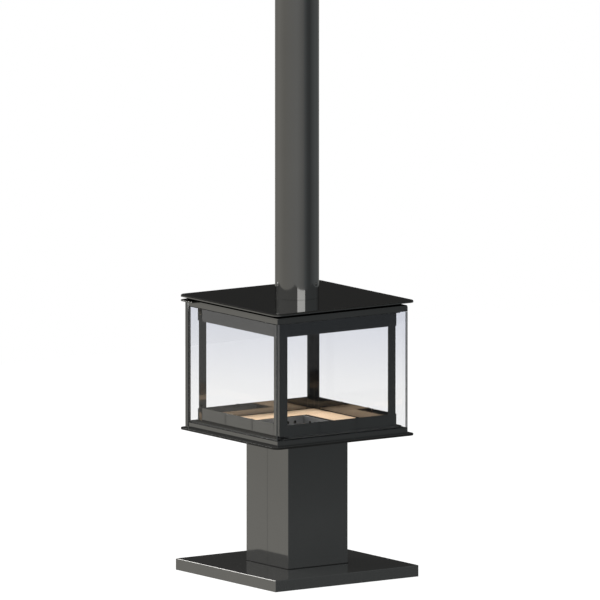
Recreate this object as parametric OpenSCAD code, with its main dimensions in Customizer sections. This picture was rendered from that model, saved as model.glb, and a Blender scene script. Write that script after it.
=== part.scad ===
// Pedestal wood burning stove with a glass fire chamber, a hinged glass door,
// a two-shell column that carries the combustion air, and a straight flue.
// The door faces -Y and its hinge rod stands at the front left corner.

/* [Plinth] */
// Side of the square plinth
plinth_w = 605; // [540:5:760]
// Height of the plinth
plinth_h = 40; // [34:1:60]
// Sheet thickness of the plinth cover
plinth_wall = 3; // [2:0.5:4]
// Thickness of the base plate inside the plinth
base_plate_t = 8; // [6:1:10]
// Spacing of the four floor anchor holes
anchor_spacing = 400; // [340:5:440]
// Diameter of the floor anchor holes
anchor_d = 12; // [8:0.5:14]
// Diameter of the combustion air inlet in the base plate
air_inlet_d = 101; // [80:1:125]

/* [Column] */
// Side of the square column
column_w = 252; // [246:1:300]
// Height of the column between the plinth and the floor plate
column_h = 455; // [320:1:620]
// Sheet thickness of the column shells
column_wall = 2.5; // [1.5:0.5:3.5]
// Gap between the two shells at their seams
seam_gap = 0.5; // [0.3:0.1:1]
// Side of the square support tube inside the column
tube_w = 160; // [144:1:168]
// Wall of the support tube
tube_wall = 4; // [3:0.5:6]
// Thickness of the rings that hold the shells
ring_t = 10; // [8:1:14]

/* [Air control] */
// Height of the air box under the floor plate
air_box_h = 94; // [88:1:120]
// Wall of the air box
air_box_wall = 4; // [3:0.5:5]
// Width of each air slot across the slide
air_slot_w = 22; // [14:1:24]
// Length of each air slot
air_slot_l = 110; // [80:1:114]
// Travel of the air slide
air_travel = 25; // [25:1:30]
// Thickness of the air slide
air_slide_t = 2; // [1.5:0.5:3]
// Diameter of the air rod
air_rod_d = 8; // [6:0.5:10]
// Sideways place of the air rod
air_rod_x = 40; // [30:1:44]
// Diameter of the air knob
knob_d = 24; // [20:1:30]

/* [Hearth] */
// Thickness of the floor plate
floor_t = 6.5; // [4:0.5:8]
// Overhang of the floor and top plates past the bands
plate_overhang = 21.5; // [13:0.5:24]
// Corner radius of the floor and top plates
plate_corner_r = 26; // [22:1:28]
// Thickness of the hearth slabs
slab_t = 24.5; // [22:0.5:34]
// Side of the square opening in the hearth slabs
slab_opening = 280; // [262:1:320]
// Inside width of the fire basket
basket_w = 195; // [180:1:196]
// Wall of the fire basket
basket_wall = 3; // [2:0.5:3.5]
// Height of the basket rim above the hearth slabs
basket_rise = 5; // [3:0.5:15]
// Diameter of the air holes in the basket
basket_hole_d = 8; // [5:0.5:10]
// Pitch of the air holes in the basket
basket_hole_pitch = 30; // [24:1:34]
// Air gap round the basket
basket_air_gap = 10; // [6:0.5:10.5]
// Height of the ash pan
ash_pan_h = 43; // [30:1:46]
// Thickness of the grate
grate_t = 10; // [8:0.5:12]

/* [Fire chamber] */
// Outer side of the square bands above and below the glass
band_w = 550; // [520:2:600]
// Height of the lower band
lower_band_h = 19; // [16:0.5:28]
// Height of the upper band
upper_band_h = 16.6; // [14:0.2:26]
// Height between the bands
window_h = 407.9; // [360:0.1:520]
// Distance from the band's face to the rail's face
rail_inset = 28; // [26:0.5:34]
// Thickness of the glass
glass_t = 5; // [4:0.5:6]
// Height of the lower rails above their flange
lower_rail_h = 42.5; // [30:0.5:60]
// Extra height of the door's lower rail
door_rail_extra = 4; // [0:0.5:8]
// Height of the upper rails below the band
upper_rail_h = 51.9; // [36:0.1:70]
// Sheet thickness of the rails
rail_t = 2; // [1.5:0.5:3]
// Thickness of the rail flanges
flange_t = 3; // [2:0.5:4]
// Leg of the corner posts
post_leg = 31; // [24:1:34]
// Leg of the jamb post that the door shuts beside
jamb_leg = 34; // [26:1:40]
// Thickness of the corner posts
post_t = 3; // [2:0.5:4]
// Thickness of the sealing strips
seal_t = 2; // [1:0.5:3]

/* [Door hinge] */
// Diameter of the hinge rod
rod_d = 17; // [14:0.5:20]
// Distance from the band's face to the hinge axis
hinge_inset = 3; // [2:0.5:6]
// Diameter of the hinge pins
pin_d = 8; // [6:0.5:10]

/* [Roof] */
// Thickness of the roof plate
roof_t = 4; // [3:0.5:8]
// Height of the shadow gap between the roof plate and the top plate
top_gap = 11; // [8:0.5:20]
// Thickness of the top plate
top_t = 8; // [5:0.5:10]
// Corner radius of the roof plate
roof_corner_r = 4; // [2:1:12]
// Thickness of the baffle plate
baffle_t = 12; // [8:1:20]
// Smoke gap between the baffle plate and the posts
baffle_gap = 41; // [30:1:60]

/* [Flue] */
// Outside diameter of the flue pipe
flue_d = 153; // [130:1:180]
// Wall of the flue pipe
flue_wall = 1.5; // [1:0.5:3]
// Length of the flue pipe
flue_len = 1120; // [600:10:1500]
// Depth of the socket at the top of the flue pipe
socket_len = 50; // [40:1:80]

/* [Hidden] */
$fn = 96;

// Clearances
slip = 0.3;             // between faces that slide past each other
fold_clear = 0.5;       // between a folded cover and what it covers
pin_clear = 0.05;       // radial, of a pin that turns in a bore
cut = 1;                // overshoot of a cutting shape

// Side of the stove as a turn of the front side
FRONT = 0;
RIGHT = 90;
BACK = 180;
LEFT = 270;

// Colours
GREY_PAINT = [0.22, 0.22, 0.22];
DARK_PAINT = [0.13, 0.13, 0.13];
RAW_STEEL = [0.45, 0.45, 0.46];
CAST_IRON = [0.2, 0.2, 0.2];
REFRACTORY = [0.87, 0.72, 0.58];
VERMICULITE = [0.78, 0.7, 0.52];
CLEAR_GLASS = [0.85, 0.87, 0.93, 0.3];
SEAL_BLACK = [0.08, 0.08, 0.08];
ZINC = [0.62, 0.62, 0.6];

// Heights, from the ground up
foot_t = 8;
z_foot = base_plate_t + foot_t;
z_floor_under = plinth_h + column_h;
z_floor = z_floor_under + floor_t;
z_air_box = z_floor_under - air_box_h;
z_air_floor = z_air_box + air_box_wall;
z_window = z_floor + lower_band_h;
z_upper_band = z_window + window_h;
z_roof = z_upper_band + upper_band_h;
z_roof_top = z_roof + roof_t;
z_top = z_roof_top + top_gap;
z_top_face = z_top + top_t;
z_slab = z_floor + slab_t;
z_flue_end = z_top_face + flue_len;

// Plinth and support tube
base_w = plinth_w - 2 * (plinth_wall + fold_clear);
foot_lip = 30;
foot_w = tube_w + 2 * foot_lip;
tube_flange_lip = 15;
tube_flange_w = tube_w + 2 * tube_flange_lip;
tube_flange_t = 6;
foot_bolt_at = tube_w / 2 + foot_lip / 2;
foot_bolt_d = 10;
foot_bolt_head_d = 17;
foot_bolt_head_h = 6.4;
spacer_d = 20;
spacer_inset = 50;
spacer_at = plinth_w / 2 - spacer_inset;

// Column shells and their rings
column_half = column_w / 2;
column_inner = column_half - column_wall;
air_box_half = basket_w / 2 + basket_wall + basket_air_gap + air_box_wall;
seam_return = column_inner - air_box_half - fold_clear;
ring_half = column_inner - 0.25;
ring_hole = tube_w / 2 + 0.25;
z_lower_ring = plinth_h + 20;
z_upper_ring = z_air_box - tube_flange_t - ring_t - 20;
shell_screw_x = 60;
shell_screw_d = 5;
shell_screw_head_d = 9.5;
shell_screw_head_h = 2.8;
shell_screw_l = 20;

// Air control, closed at rest
air_slot_pitch = 2 * air_travel;
air_port_at = [-air_travel, air_travel];
slide_slot_at = [-2 * air_travel, 0];
slide_lap = 20;
slide_w = air_slot_l + 2 * slide_lap;
slide_y0 = -3 * air_travel;
slide_y1 = 2 * air_travel;
guide_w = 8;
guide_lip = 4;
guide_lip_t = 2;
z_slide = z_air_floor + slip;
z_rod = z_slide + air_slide_t + 1 + air_rod_d / 2;
rod_block_w = air_rod_d + 6;
rod_block_l = 16;
rod_block_y = 18;
knob_l = 20;
knob_y = column_half + 4;
rod_end_y = knob_y + knob_l - 5;

// Fire basket, ash pan and grate
basket_half = basket_w / 2;
basket_outer = basket_half + basket_wall;
floor_hole_half = basket_outer + basket_air_gap;
z_basket = z_rod + air_rod_d / 2 + 5;
z_basket_floor = z_basket + basket_wall;
z_basket_rim = z_slab + basket_rise;
z_basket_holes = z_floor + 11;
ear_reach = 11.5;
ear_w = 26;
ear_t = 3;
ledge_d = 7;
ledge_h = 8;
ledge_w = 20;
pan_half = basket_half - ledge_d - 2.5;
pan_wall = 1.5;
z_pan = z_basket_floor + slip;
z_ledge = z_pan + ash_pan_h + 4;
z_grate = z_ledge + ledge_h + slip;
grate_half = basket_half - 3;
grate_rim = 14;
grate_slot_w = 8;
grate_bar_w = 8;
primary_slot = [30, 8];
primary_slot_pitch = 45;

// Planes of the fire chamber, as distances from the axis
band_half = band_w / 2;
plate_half = band_half + plate_overhang;
glass_inner = band_half - glass_t;
flange_reach = glass_inner - seal_t;
rail_face = band_half - rail_inset;
rail_back = rail_face - rail_t;
post_inner = rail_back - post_t;
slab_half = post_inner - 1;
slab_joint = 0.5;
pane_lap = glass_inner - 0.5;
pane_top_clear = 0.4;
door_pane_clear = 1.5;
flange_lift = 2.5;
z_lower_flange = z_window + flange_lift;
z_lower_web = z_lower_flange + flange_t;
z_upper_web = z_upper_band - upper_rail_h;
z_upper_flange = z_upper_band - pane_top_clear - flange_t;

// Door and hinge
hinge_at = band_half - hinge_inset;
rod_r = rod_d / 2;
rod_gap = 2.5;
hinge_side = hinge_at - rod_r - rod_gap;
collar_h = 5.7;
z_rod_foot = z_floor + collar_h + slip;
z_rod_head = z_roof - slip;
pin_depth = 16;
door_web_inset = 22.4;
door_web_from = -(rail_face - door_web_inset);
door_web_to = rail_face - jamb_leg - 1;
door_tip_clear = 7;
door_tip_to = glass_inner - door_tip_clear;
arm_inset = 5;
arm_from = -(hinge_at - arm_inset);
keeper_size = [20, 2, 22];
keeper_inset = 30;
keeper_x = door_web_to - keeper_inset;
catch_size = [24, 14, 28];
clip_at = 80;
clip_w = 8;
clip_t = 1;
clip_leg = 12;

// Roof, baffle and flue
lug_reach = plate_half;
lug_w = 60;
roof_spacer_inset = 74;
roof_spacer_at = band_half - roof_spacer_inset;
roof_spacer_d = 20;
roof_screw_d = 6;
roof_screw_head_d = 10;
roof_screw_head_h = 4;
baffle_half = post_inner - baffle_gap;
baffle_hanger_at = baffle_half - 20;
baffle_hanger_d = 8;
baffle_washer_d = 20;
baffle_washer_t = 4;
z_baffle = z_upper_web + 8.5;
collar_r = flue_d / 2 - flue_wall - 1;
collar_wall = 3;
collar_rise = 42;
socket_r = flue_d / 2 + 0.3;
socket_taper = 12;

// Shapes used by several pieces

module block(low, high) {
    translate(low) cube(high - low);
}

module rounded_square(half, r) {
    square([2 * half, 2 * (half - r)], center = true);
    square([2 * (half - r), 2 * half], center = true);
    for (sx = [-1, 1], sy = [-1, 1])
        translate([sx * (half - r), sy * (half - r)]) circle(r);
}

module plate(half, r, z, t) {
    translate([0, 0, z]) linear_extrude(t) rounded_square(half, r);
}

module square_tube(half, wall, z0, z1) {
    difference() {
        block([-half, -half, z0], [half, half, z1]);
        block([-half + wall, -half + wall, z0 - cut], [half - wall, half - wall, z1 + cut]);
    }
}

module at_corners(distance) {
    for (sx = [-1, 1], sy = [-1, 1])
        translate([sx * distance, sy * distance, 0]) children();
}

module side(turn) {
    rotate([0, 0, turn]) children();
}

// Plinth

module base_plate() {
    color(RAW_STEEL) difference() {
        block([-base_w / 2, -base_w / 2, 0], [base_w / 2, base_w / 2, base_plate_t]);
        translate([0, 0, -cut]) cylinder(d = air_inlet_d, h = base_plate_t + 2 * cut);
        at_corners(anchor_spacing / 2)
            translate([0, 0, -cut]) cylinder(d = anchor_d, h = base_plate_t + 2 * cut);
        at_corners(foot_bolt_at)
            translate([0, 0, -cut]) cylinder(d = foot_bolt_d, h = base_plate_t + 2 * cut);
    }
}

module plinth_cover() {
    half = plinth_w / 2;
    hole = tube_w / 2 + fold_clear;
    color(GREY_PAINT) difference() {
        block([-half, -half, 0], [half, half, plinth_h]);
        block([-half + plinth_wall, -half + plinth_wall, -cut],
              [half - plinth_wall, half - plinth_wall, plinth_h - plinth_wall]);
        block([-hole, -hole, 0], [hole, hole, plinth_h + cut]);
    }
}

module plinth_spacers() {
    color(RAW_STEEL) for (turn = [FRONT, RIGHT, BACK, LEFT]) side(turn)
        translate([0, -spacer_at, base_plate_t])
            cylinder(d = spacer_d, h = plinth_h - plinth_wall - base_plate_t);
}

module support_tube() {
    half = tube_w / 2;
    color(RAW_STEEL) {
        difference() {
            square_tube(foot_w / 2, foot_w / 2 - half + tube_wall, base_plate_t, z_foot);
            at_corners(foot_bolt_at)
                translate([0, 0, base_plate_t - cut]) cylinder(d = foot_bolt_d + 1, h = foot_t + 2 * cut);
        }
        square_tube(half, tube_wall, z_foot, z_air_box - tube_flange_t);
        square_tube(tube_flange_w / 2, tube_flange_w / 2 - half + tube_wall,
                    z_air_box - tube_flange_t, z_air_box);
    }
}

module foot_bolts() {
    color(ZINC) at_corners(foot_bolt_at) {
        translate([0, 0, cut]) cylinder(d = foot_bolt_d, h = z_foot - cut);
        translate([0, 0, z_foot]) cylinder(d = foot_bolt_head_d, h = foot_bolt_head_h, $fn = 6);
    }
}

// Column

module shell_ring(z) {
    notch_x = seam_gap / 2 + column_wall + fold_clear;
    notch_y = ring_half - seam_return - fold_clear;
    difference() {
        block([-ring_half, -ring_half, z], [ring_half, ring_half, z + ring_t]);
        block([-ring_hole, -ring_hole, z - cut], [ring_hole, ring_hole, z + ring_t + cut]);
        for (turn = [FRONT, BACK]) side(turn)
            block([-notch_x, -ring_half - cut, z - cut], [notch_x, -notch_y, z + ring_t + cut]);
        for (sx = [-1, 1])
            translate([sx * shell_screw_x, column_half - shell_screw_l, z + ring_t / 2])
                rotate([-90, 0, 0]) cylinder(d = shell_screw_d, h = shell_screw_l + cut);
    }
}

module shell_rings() {
    color(RAW_STEEL) {
        shell_ring(z_lower_ring);
        shell_ring(z_upper_ring);
    }
}

// One folded half of the column, on the +X side
module column_shell() {
    seam = seam_gap / 2;
    z0 = plinth_h;
    z1 = z_floor_under - fold_clear;
    difference() {
        union() {
            block([column_inner, -column_half, z0], [column_half, column_half, z1]);
            for (flip = [0, 1]) mirror([0, flip, 0]) {
                block([seam, -column_half, z0], [column_inner, -column_inner, z1]);
                block([seam, -column_inner, z0],
                      [seam + column_wall, -column_inner + seam_return, z1]);
            }
        }
        for (z = [z_lower_ring, z_upper_ring])
            translate([shell_screw_x, column_inner - cut, z + ring_t / 2])
                rotate([-90, 0, 0]) cylinder(d = shell_screw_d + 0.5, h = column_wall + 2 * cut);
    }
}

module column_shell_left() {
    color(GREY_PAINT) mirror([1, 0, 0]) column_shell();
}

module column_shell_right() {
    color(GREY_PAINT) difference() {
        column_shell();
        translate([air_rod_x, column_inner - cut, z_rod])
            rotate([-90, 0, 0]) cylinder(d = air_rod_d + 4, h = column_wall + 2 * cut);
    }
}

module shell_screws() {
    color(ZINC)
        for (sx = [-1, 1], z = [z_lower_ring, z_upper_ring])
            translate([sx * shell_screw_x, column_half, z + ring_t / 2]) rotate([-90, 0, 0]) {
                translate([0, 0, -shell_screw_l]) cylinder(d = shell_screw_d, h = shell_screw_l);
                difference() {
                    cylinder(d = shell_screw_head_d, h = shell_screw_head_h);
                    translate([0, 0, 1]) cylinder(d = 3.4, h = shell_screw_head_h, $fn = 6);
                }
            }
}

// Air box and air control

module air_guide() {
    near = slide_w / 2 + slip;
    lip_z = z_slide + air_slide_t + slip;
    block([near, slide_y0, z_air_floor], [near + guide_w, -slide_y0, lip_z]);
    block([near - guide_lip, slide_y0, lip_z], [near + guide_w, -slide_y0, lip_z + guide_lip_t]);
}

module air_box() {
    color(RAW_STEEL) {
        difference() {
            block([-air_box_half, -air_box_half, z_air_box],
                  [air_box_half, air_box_half, z_floor_under]);
            block([-floor_hole_half, -floor_hole_half, z_air_floor],
                  [floor_hole_half, floor_hole_half, z_floor_under + cut]);
            for (y = air_port_at)
                block([-air_slot_l / 2, y - air_slot_w / 2, z_air_box - cut],
                      [air_slot_l / 2, y + air_slot_w / 2, z_air_floor + cut]);
            translate([air_rod_x, floor_hole_half - cut, z_rod])
                rotate([-90, 0, 0]) cylinder(r = air_rod_d / 2 + pin_clear, h = air_box_wall + 2 * cut);
        }
        for (flip = [0, 1]) mirror([flip, 0, 0]) air_guide();
    }
}

module air_slide() {
    plate_top = z_slide + air_slide_t;
    color(ZINC) {
        difference() {
            block([-slide_w / 2, slide_y0, z_slide], [slide_w / 2, slide_y1, plate_top]);
            for (y = slide_slot_at)
                block([-air_slot_l / 2, y - air_slot_w / 2, z_slide - cut],
                      [air_slot_l / 2, y + air_slot_w / 2, plate_top + cut]);
        }
        difference() {
            block([air_rod_x - rod_block_w / 2, rod_block_y, plate_top],
                  [air_rod_x + rod_block_w / 2, rod_block_y + rod_block_l, z_rod + air_rod_d / 2 + 2.5]);
            translate([air_rod_x, rod_block_y + 2, z_rod])
                rotate([-90, 0, 0]) cylinder(d = air_rod_d, h = rod_block_l);
        }
    }
}

module air_rod() {
    color(ZINC) translate([air_rod_x, rod_block_y + 2, z_rod])
        rotate([-90, 0, 0]) cylinder(d = air_rod_d, h = rod_end_y - rod_block_y - 2);
}

module air_knob() {
    r = knob_d / 2;
    color(DARK_PAINT) translate([air_rod_x, knob_y, z_rod]) rotate([-90, 0, 0]) difference() {
        rotate_extrude()
            polygon([[0, 0], [r - 4, 0], [r, 4], [r, knob_l - 4], [r - 2, knob_l], [0, knob_l]]);
        translate([0, 0, -cut]) cylinder(d = air_rod_d, h = rod_end_y - knob_y + cut);
    }
}

// Hearth

module floor_plate() {
    color(DARK_PAINT) difference() {
        plate(plate_half, plate_corner_r, z_floor_under, floor_t);
        block([-floor_hole_half, -floor_hole_half, z_floor_under - cut],
              [floor_hole_half, floor_hole_half, z_floor + cut]);
        translate([-hinge_at, -hinge_at, z_floor_under - cut]) cylinder(d = pin_d, h = floor_t + 2 * cut);
    }
}

module hearth_slab(turn) {
    color(REFRACTORY) side(turn)
        block([-slab_half, -slab_half, z_floor],
              [slab_opening / 2 - slab_joint, -slab_opening / 2, z_slab]);
}

module fire_basket() {
    ear_from = basket_outer - ear_w;
    ear_to = floor_hole_half + ear_reach;
    color(RAW_STEEL) {
        difference() {
            union() {
                block([-basket_outer, -basket_outer, z_basket], [basket_outer, basket_outer, z_basket_rim]);
                for (turn = [FRONT, RIGHT, BACK, LEFT]) side(turn)
                    block([ear_from, ear_from, z_floor], [ear_to, ear_to, z_floor + ear_t]);
            }
            block([-basket_half, -basket_half, z_basket_floor],
                  [basket_half, basket_half, z_basket_rim + cut]);
            for (turn = [FRONT, RIGHT], i = [-2:2]) side(turn)
                translate([i * basket_hole_pitch, -basket_outer - cut, z_basket_holes])
                    rotate([-90, 0, 0]) cylinder(d = basket_hole_d, h = 2 * (basket_outer + cut), $fn = 48);
            for (turn = [FRONT, RIGHT], i = [-1:1]) side(turn)
                translate([i * primary_slot_pitch, 0, z_ledge - 2 - primary_slot.y / 2])
                    cube([primary_slot.x, 2 * (basket_outer + cut), primary_slot.y], center = true);
        }
        for (turn = [FRONT, RIGHT, BACK, LEFT], sx = [-1, 1]) side(turn)
            translate([sx * (basket_half - ledge_w) - ledge_w / 2, -basket_half, z_ledge])
                cube([ledge_w, ledge_d, ledge_h]);
    }
}

module grate() {
    reach = grate_half - grate_rim;
    pitch = grate_slot_w + grate_bar_w;
    count = floor((2 * reach + grate_bar_w) / pitch);
    first = -(count - 1) * pitch / 2;
    color(CAST_IRON) difference() {
        block([-grate_half, -grate_half, z_grate], [grate_half, grate_half, z_grate + grate_t]);
        for (i = [0:count - 1], flip = [0, 1]) mirror([0, flip, 0])
            block([first + i * pitch - grate_slot_w / 2, grate_bar_w / 2, z_grate - cut],
                  [first + i * pitch + grate_slot_w / 2, reach, z_grate + grate_t + cut]);
    }
}

module ash_pan() {
    color(RAW_STEEL) difference() {
        block([-pan_half, -pan_half, z_pan], [pan_half, pan_half, z_pan + ash_pan_h]);
        block([-pan_half + pan_wall, -pan_half + pan_wall, z_pan + pan_wall],
              [pan_half - pan_wall, pan_half - pan_wall, z_pan + ash_pan_h + cut]);
        translate([-pan_half - cut, 0, z_pan + ash_pan_h - 13])
            rotate([0, 90, 0]) cylinder(d = 18, h = 2 * (pan_half + cut));
    }
}

// Posts, bars and rails. Each is drawn on the front side and turned to its own.

// Angle post whose outer faces lie at face, in the corner at +X -Y
module angle_post(face, leg) {
    block([face - leg, -face, z_floor], [face, -face + post_t, z_roof]);
    block([face - post_t, -face + post_t, z_floor], [face, -face + leg, z_roof]);
}

module jamb_post() {
    color(GREY_PAINT) angle_post(rail_face, jamb_leg);
}

module corner_post(turn) {
    color(GREY_PAINT) side(turn) angle_post(rail_back, post_leg);
}

module post_hinge_side() {
    color(GREY_PAINT)
        block([-rail_back, -rail_back + 1, z_floor], [-post_inner, -rail_back + post_leg, z_roof]);
}

module bar(turn, from, to, z, h) {
    color(GREY_PAINT) side(turn)
        block([from, -band_half, z], [to, -rail_face, z + h]);
}

// The left bar has a tongue that closes the corner beside the hinge rod
module left_bar(z, h) {
    bar(LEFT, -rail_face, rail_face, z, h);
    color(GREY_PAINT) side(LEFT)
        block([rail_face, -band_half, z], [hinge_side, -hinge_side, z + h]);
}

module lower_rail(turn, from, to, flange_to) {
    color(GREY_PAINT) side(turn) {
        block([from, -rail_face, z_lower_flange], [to, -rail_back, z_lower_web + lower_rail_h]);
        block([from, -flange_reach, z_lower_flange], [flange_to, -rail_face, z_lower_web]);
    }
}

module upper_rail(turn, from, to, flange_to) {
    color(GREY_PAINT) side(turn) {
        block([from, -rail_face, z_upper_web], [to, -rail_back, z_roof]);
        block([from, -flange_reach, z_upper_flange], [flange_to, -rail_face, z_upper_flange + flange_t]);
    }
}

// Door

module hinge_rod_space() {
    translate([-hinge_at, -hinge_at, z_floor]) cylinder(r = rod_r, h = z_roof - z_floor);
}

module door_flange(z) {
    difference() {
        union() {
            block([arm_from, -flange_reach, z], [door_web_to, -rail_face, z + flange_t]);
            block([door_web_to, -flange_reach, z], [door_tip_to, -rail_face - slip, z + flange_t]);
        }
        hinge_rod_space();
    }
}

module door_lower_rail() {
    color(GREY_PAINT) {
        block([door_web_from, -rail_face, z_lower_flange],
              [door_web_to, -rail_back, z_lower_web + lower_rail_h + door_rail_extra]);
        door_flange(z_lower_flange);
    }
}

module door_upper_rail() {
    color(GREY_PAINT) {
        block([door_web_from, -rail_face, z_upper_web],
              [door_web_to, -rail_back, z_upper_flange + flange_t]);
        door_flange(z_upper_flange);
        translate([keeper_x, -rail_back, z_upper_web + 20]) cube(keeper_size);
    }
}

module pane(turn, from, to, z0, z1) {
    color(CLEAR_GLASS) side(turn)
        block([from, -band_half, z0], [to, -glass_inner, z1]);
}

module hinge_rod() {
    color(GREY_PAINT) difference() {
        translate([-hinge_at, -hinge_at, z_rod_foot]) cylinder(r = rod_r, h = z_rod_head - z_rod_foot);
        for (z = [z_rod_foot - cut, z_rod_head - pin_depth - cut])
            translate([-hinge_at, -hinge_at, z])
                cylinder(r = pin_d / 2 + pin_clear, h = pin_depth + 2 * cut);
    }
}

module hinge_pins() {
    head_r = pin_d / 2 + 3;
    head_h = min(4, top_gap - 1);
    color(GREY_PAINT) translate([-hinge_at, -hinge_at, 0]) {
        translate([0, 0, z_floor_under]) cylinder(d = pin_d, h = z_rod_foot + pin_depth - z_floor_under);
        translate([0, 0, z_floor]) cylinder(r = rod_r, h = collar_h);
        translate([0, 0, z_rod_head - pin_depth]) cylinder(d = pin_d, h = z_roof_top - z_rod_head + pin_depth);
        translate([0, 0, z_roof_top]) cylinder(r = head_r, h = head_h);
    }
}

// Spring clip over the top edge of a lower rail, at x on the front side
module clip(x, z_edge) {
    block([x - clip_w / 2, -rail_face - clip_t, z_lower_web], [x + clip_w / 2, -rail_face, z_edge + clip_t]);
    block([x - clip_w / 2, -rail_face, z_edge], [x + clip_w / 2, -rail_back + clip_t, z_edge + clip_t]);
    block([x - clip_w / 2, -rail_back, z_edge - clip_leg], [x + clip_w / 2, -rail_back + clip_t, z_edge]);
}

module rail_clips() {
    color(DARK_PAINT) for (turn = [RIGHT, BACK, LEFT], sx = [-1, 1]) side(turn)
        clip(sx * clip_at, z_lower_web + lower_rail_h);
}

module door_clips() {
    color(DARK_PAINT) for (sx = [-1, 1])
        clip(sx * clip_at, z_lower_web + lower_rail_h + door_rail_extra);
}

module seal(turn, from, to, z) {
    side(turn) block([from, -glass_inner, z], [to, -flange_reach, z + flange_t]);
}

module pane_seals() {
    color(SEAL_BLACK) for (z = [z_lower_flange, z_upper_flange]) {
        seal(RIGHT, -rail_back, rail_face, z);
        seal(BACK, -rail_back, rail_face, z);
        seal(LEFT, -rail_back, rail_face - 6, z);
    }
}

module door_seals() {
    color(SEAL_BLACK) for (z = [z_lower_flange, z_upper_flange])
        seal(FRONT, -hinge_side + 1, door_tip_to, z);
}

// Roof, baffle and flue

module roof_plate() {
    pivot = [-hinge_at, -hinge_at, z_roof - cut];
    lug_centre = lug_reach - plate_corner_r;
    color(GREY_PAINT) difference() {
        union() {
            plate(band_half, roof_corner_r, z_roof, roof_t);
            translate([0, 0, z_roof]) linear_extrude(roof_t) {
                translate([-lug_centre, -lug_centre]) circle(plate_corner_r);
                translate([-lug_centre, -lug_reach]) square([lug_w, lug_w]);
                translate([-lug_reach, -lug_centre]) square([lug_w, lug_w]);
            }
        }
        translate(pivot) cylinder(d = pin_d, h = roof_t + 2 * cut);
        translate([0, 0, z_roof - cut]) cylinder(r = collar_r, h = roof_t + 2 * cut);
        at_corners(roof_spacer_at)
            translate([0, 0, z_roof - cut]) cylinder(d = roof_screw_d + 0.5, h = roof_t + 2 * cut);
    }
}

module magnet_catch() {
    y = -rail_back + keeper_size.y + slip;
    x = keeper_x + (keeper_size.x - catch_size.x) / 2;
    z = z_upper_web + 17;
    color(DARK_PAINT) {
        translate([x, y, z]) cube(catch_size);
        translate([x, y + catch_size.y - 3, z + catch_size.z])
            cube([catch_size.x, 3, z_roof - z - catch_size.z]);
    }
}

module baffle_plate() {
    color(VERMICULITE) difference() {
        block([-baffle_half, -baffle_half, z_baffle], [baffle_half, baffle_half, z_baffle + baffle_t]);
        at_corners(baffle_hanger_at)
            translate([0, 0, z_baffle - cut]) cylinder(d = baffle_hanger_d + 0.5, h = baffle_t + 2 * cut);
    }
}

module baffle_hangers() {
    color(ZINC) at_corners(baffle_hanger_at) {
        translate([0, 0, z_baffle]) cylinder(d = baffle_hanger_d, h = z_roof - z_baffle);
        translate([0, 0, z_baffle - baffle_washer_t]) cylinder(d = baffle_washer_d, h = baffle_washer_t);
    }
}

module top_spacers() {
    color(GREY_PAINT) at_corners(roof_spacer_at) difference() {
        translate([0, 0, z_roof_top]) cylinder(d = roof_spacer_d, h = top_gap);
        translate([0, 0, z_roof_top - cut]) cylinder(d = roof_screw_d + 0.5, h = top_gap + 2 * cut);
    }
}

module roof_screws() {
    color(ZINC) at_corners(roof_spacer_at) {
        translate([0, 0, z_roof]) cylinder(d = roof_screw_d, h = roof_t + top_gap + top_t / 2);
        translate([0, 0, z_roof - roof_screw_head_h])
            cylinder(d = roof_screw_head_d, h = roof_screw_head_h, $fn = 6);
    }
}

module top_plate() {
    color(GREY_PAINT) difference() {
        plate(plate_half, plate_corner_r, z_top, top_t);
        translate([0, 0, z_top - cut]) cylinder(r = collar_r + fold_clear, h = top_t + 2 * cut);
        at_corners(roof_spacer_at)
            translate([0, 0, z_top - cut]) cylinder(d = roof_screw_d, h = top_t / 2 + cut);
    }
}

module flue_collar() {
    color(RAW_STEEL) translate([0, 0, z_roof]) difference() {
        cylinder(r = collar_r, h = z_top_face - z_roof + collar_rise);
        translate([0, 0, -cut]) cylinder(r = collar_r - collar_wall, h = z_top_face - z_roof + collar_rise + 2 * cut);
    }
}

module flue_pipe() {
    r = flue_d / 2;
    z_socket = z_flue_end - socket_len;
    color(GREY_PAINT) rotate_extrude()
        polygon([
            [r - flue_wall, z_top_face],
            [r, z_top_face],
            [r, z_socket - socket_taper],
            [socket_r + flue_wall, z_socket],
            [socket_r + flue_wall, z_flue_end],
            [socket_r, z_flue_end],
            [socket_r, z_socket],
            [r - flue_wall, z_socket - socket_taper]
        ]);
}

base_plate();
plinth_cover();
plinth_spacers();
support_tube();
foot_bolts();
shell_rings();
column_shell_left();
column_shell_right();
shell_screws();
air_box();
air_slide();
air_rod();
air_knob();
floor_plate();
bar(FRONT, -hinge_side, band_half, z_floor, lower_band_h);  // lower_bar_front
bar(RIGHT, -rail_face, band_half, z_floor, lower_band_h);  // lower_bar_right
bar(BACK, -rail_face, band_half, z_floor, lower_band_h);  // lower_bar_back
left_bar(z_floor, lower_band_h);  // lower_bar_left
hearth_slab(FRONT);  // hearth_slab_front
hearth_slab(RIGHT);  // hearth_slab_right
hearth_slab(BACK);  // hearth_slab_back
hearth_slab(LEFT);  // hearth_slab_left
fire_basket();
grate();
ash_pan();
jamb_post();
corner_post(RIGHT);  // post_right
corner_post(BACK);  // post_back
post_hinge_side();
lower_rail(RIGHT, -rail_face + jamb_leg, rail_face, rail_face);  // lower_rail_right
lower_rail(BACK, -rail_back, rail_face, rail_face);  // lower_rail_back
lower_rail(LEFT, -rail_back, rail_face - slip, rail_face - 6);  // lower_rail_left
upper_rail(RIGHT, -rail_face + jamb_leg, rail_face, rail_face);  // upper_rail_right
upper_rail(BACK, -rail_back, rail_face, rail_face);  // upper_rail_back
upper_rail(LEFT, -rail_back, rail_face - slip, rail_face - 6);  // upper_rail_left
door_lower_rail();
door_upper_rail();
pane(FRONT, -hinge_side, pane_lap, z_window + door_pane_clear, z_upper_band - door_pane_clear);  // door_glass
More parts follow.
